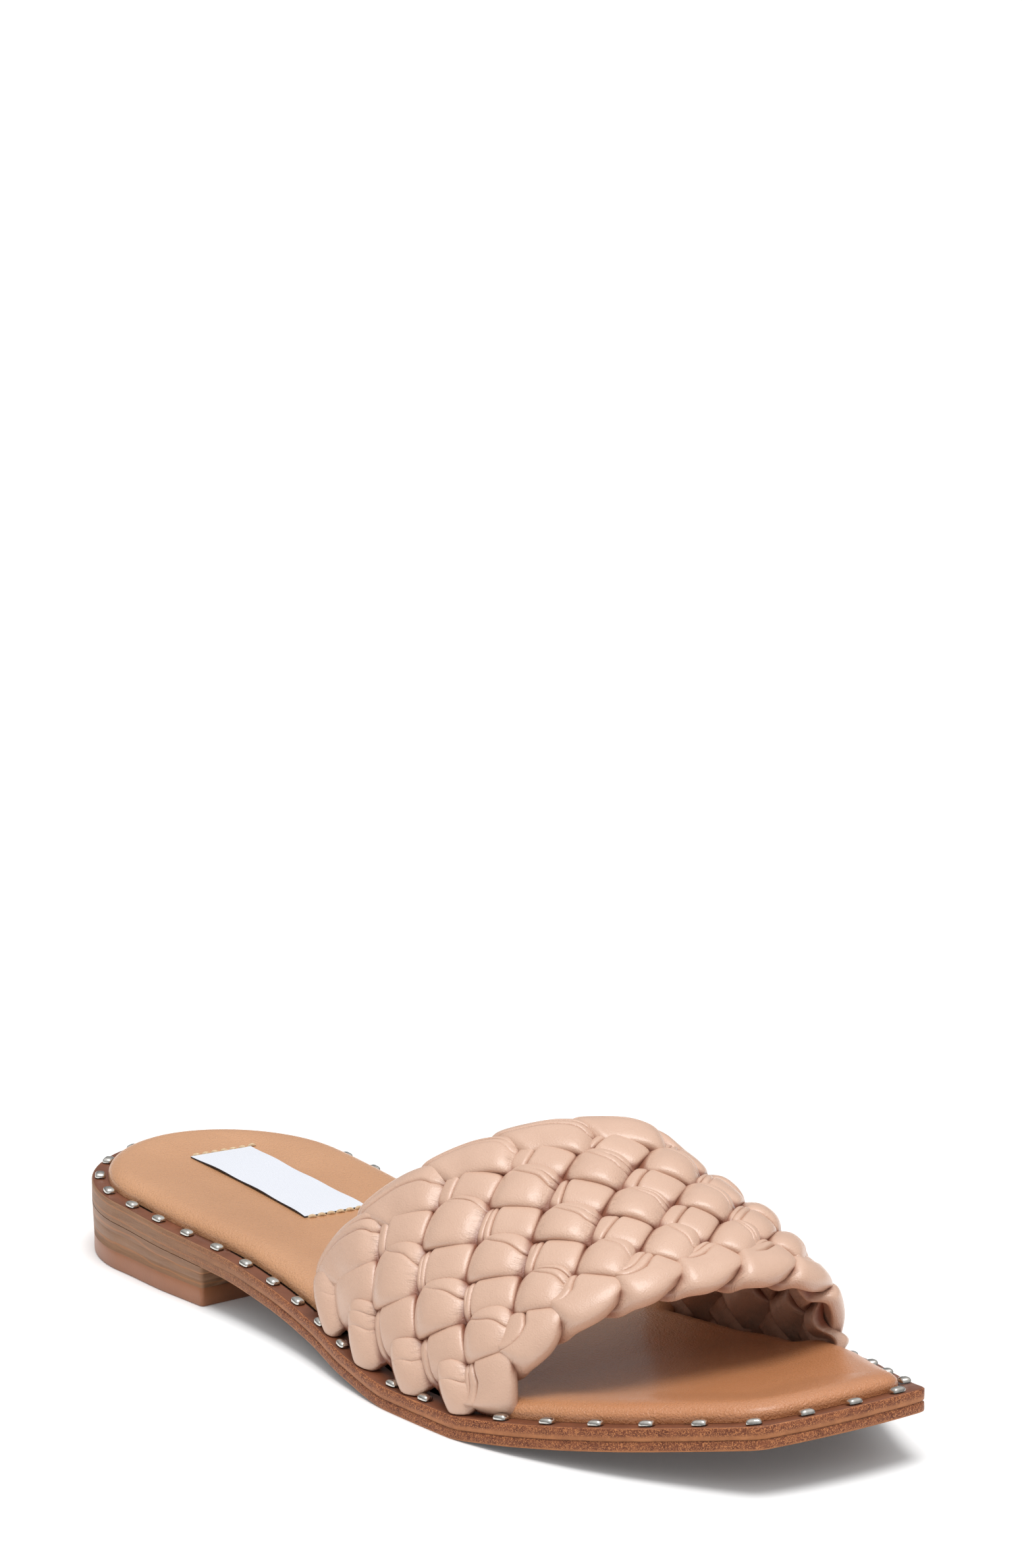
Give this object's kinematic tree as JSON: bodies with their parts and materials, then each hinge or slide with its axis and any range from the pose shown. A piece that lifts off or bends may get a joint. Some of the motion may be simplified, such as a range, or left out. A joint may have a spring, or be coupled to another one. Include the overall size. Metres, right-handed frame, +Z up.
{
  "type": "slide sandal",
  "caption": "Flat slide sandal for the right foot with one wide braided leather strap, padded footbed, studded sole edge, square toe and low stacked heel.",
  "frame": {"origin": "middle of the sandal's footprint, on the surface that it stands on", "axes": "+X from the heel to the toe, +Y to the medial side (the big toe's), +Z up"},
  "size_m": [0.2544, 0.0908, 0.0542],
  "materials": {
    "strap_leather": "soft satin, lightly wrinkled, blush pink",
    "footbed_leather": "pebbled grain with a satin gloss, tan",
    "sole_edge": "two dark speckled bands with a plain groove between them, red-brown",
    "stacked_heel": "satin, printed as stacked leather layers, grey-brown",
    "heel_lift": "smooth satin, brown",
    "woven_label": "matt woven, white, bare",
    "nickel": "polished"
  },
  "bodies": {
    "root": {"outsole": "sole_edge", "heel_block": "stacked_heel", "heel_lift": "heel_lift", "footbed": "footbed_leather", "label": "woven_label", "upper": "strap_leather", "stud_01": "nickel", "stud_02": "nickel", "stud_03": "nickel", "stud_04": "nickel", "stud_05": "nickel", "stud_06": "nickel", "stud_07": "nickel", "stud_08": "nickel", "stud_09": "nickel", "stud_10": "nickel", "stud_11": "nickel", "stud_12": "nickel", "stud_13": "nickel", "stud_14": "nickel", "stud_15": "nickel", "stud_16": "nickel", "stud_17": "nickel", "stud_18": "nickel", "stud_19": "nickel", "stud_20": "nickel", "stud_21": "nickel", "stud_22": "nickel", "stud_23": "nickel", "stud_24": "nickel", "stud_25": "nickel", "stud_26": "nickel", "stud_27": "nickel", "stud_28": "nickel", "stud_29": "nickel", "stud_30": "nickel", "stud_31": "nickel", "stud_32": "nickel", "stud_33": "nickel", "stud_34": "nickel", "stud_35": "nickel", "stud_36": "nickel", "stud_37": "nickel", "stud_38": "nickel", "stud_39": "nickel", "stud_40": "nickel", "stud_41": "nickel", "stud_42": "nickel", "stud_43": "nickel", "stud_44": "nickel", "stud_45": "nickel", "stud_46": "nickel", "stud_47": "nickel", "stud_48": "nickel", "stud_49": "nickel"}
  },
  "joints": []
}
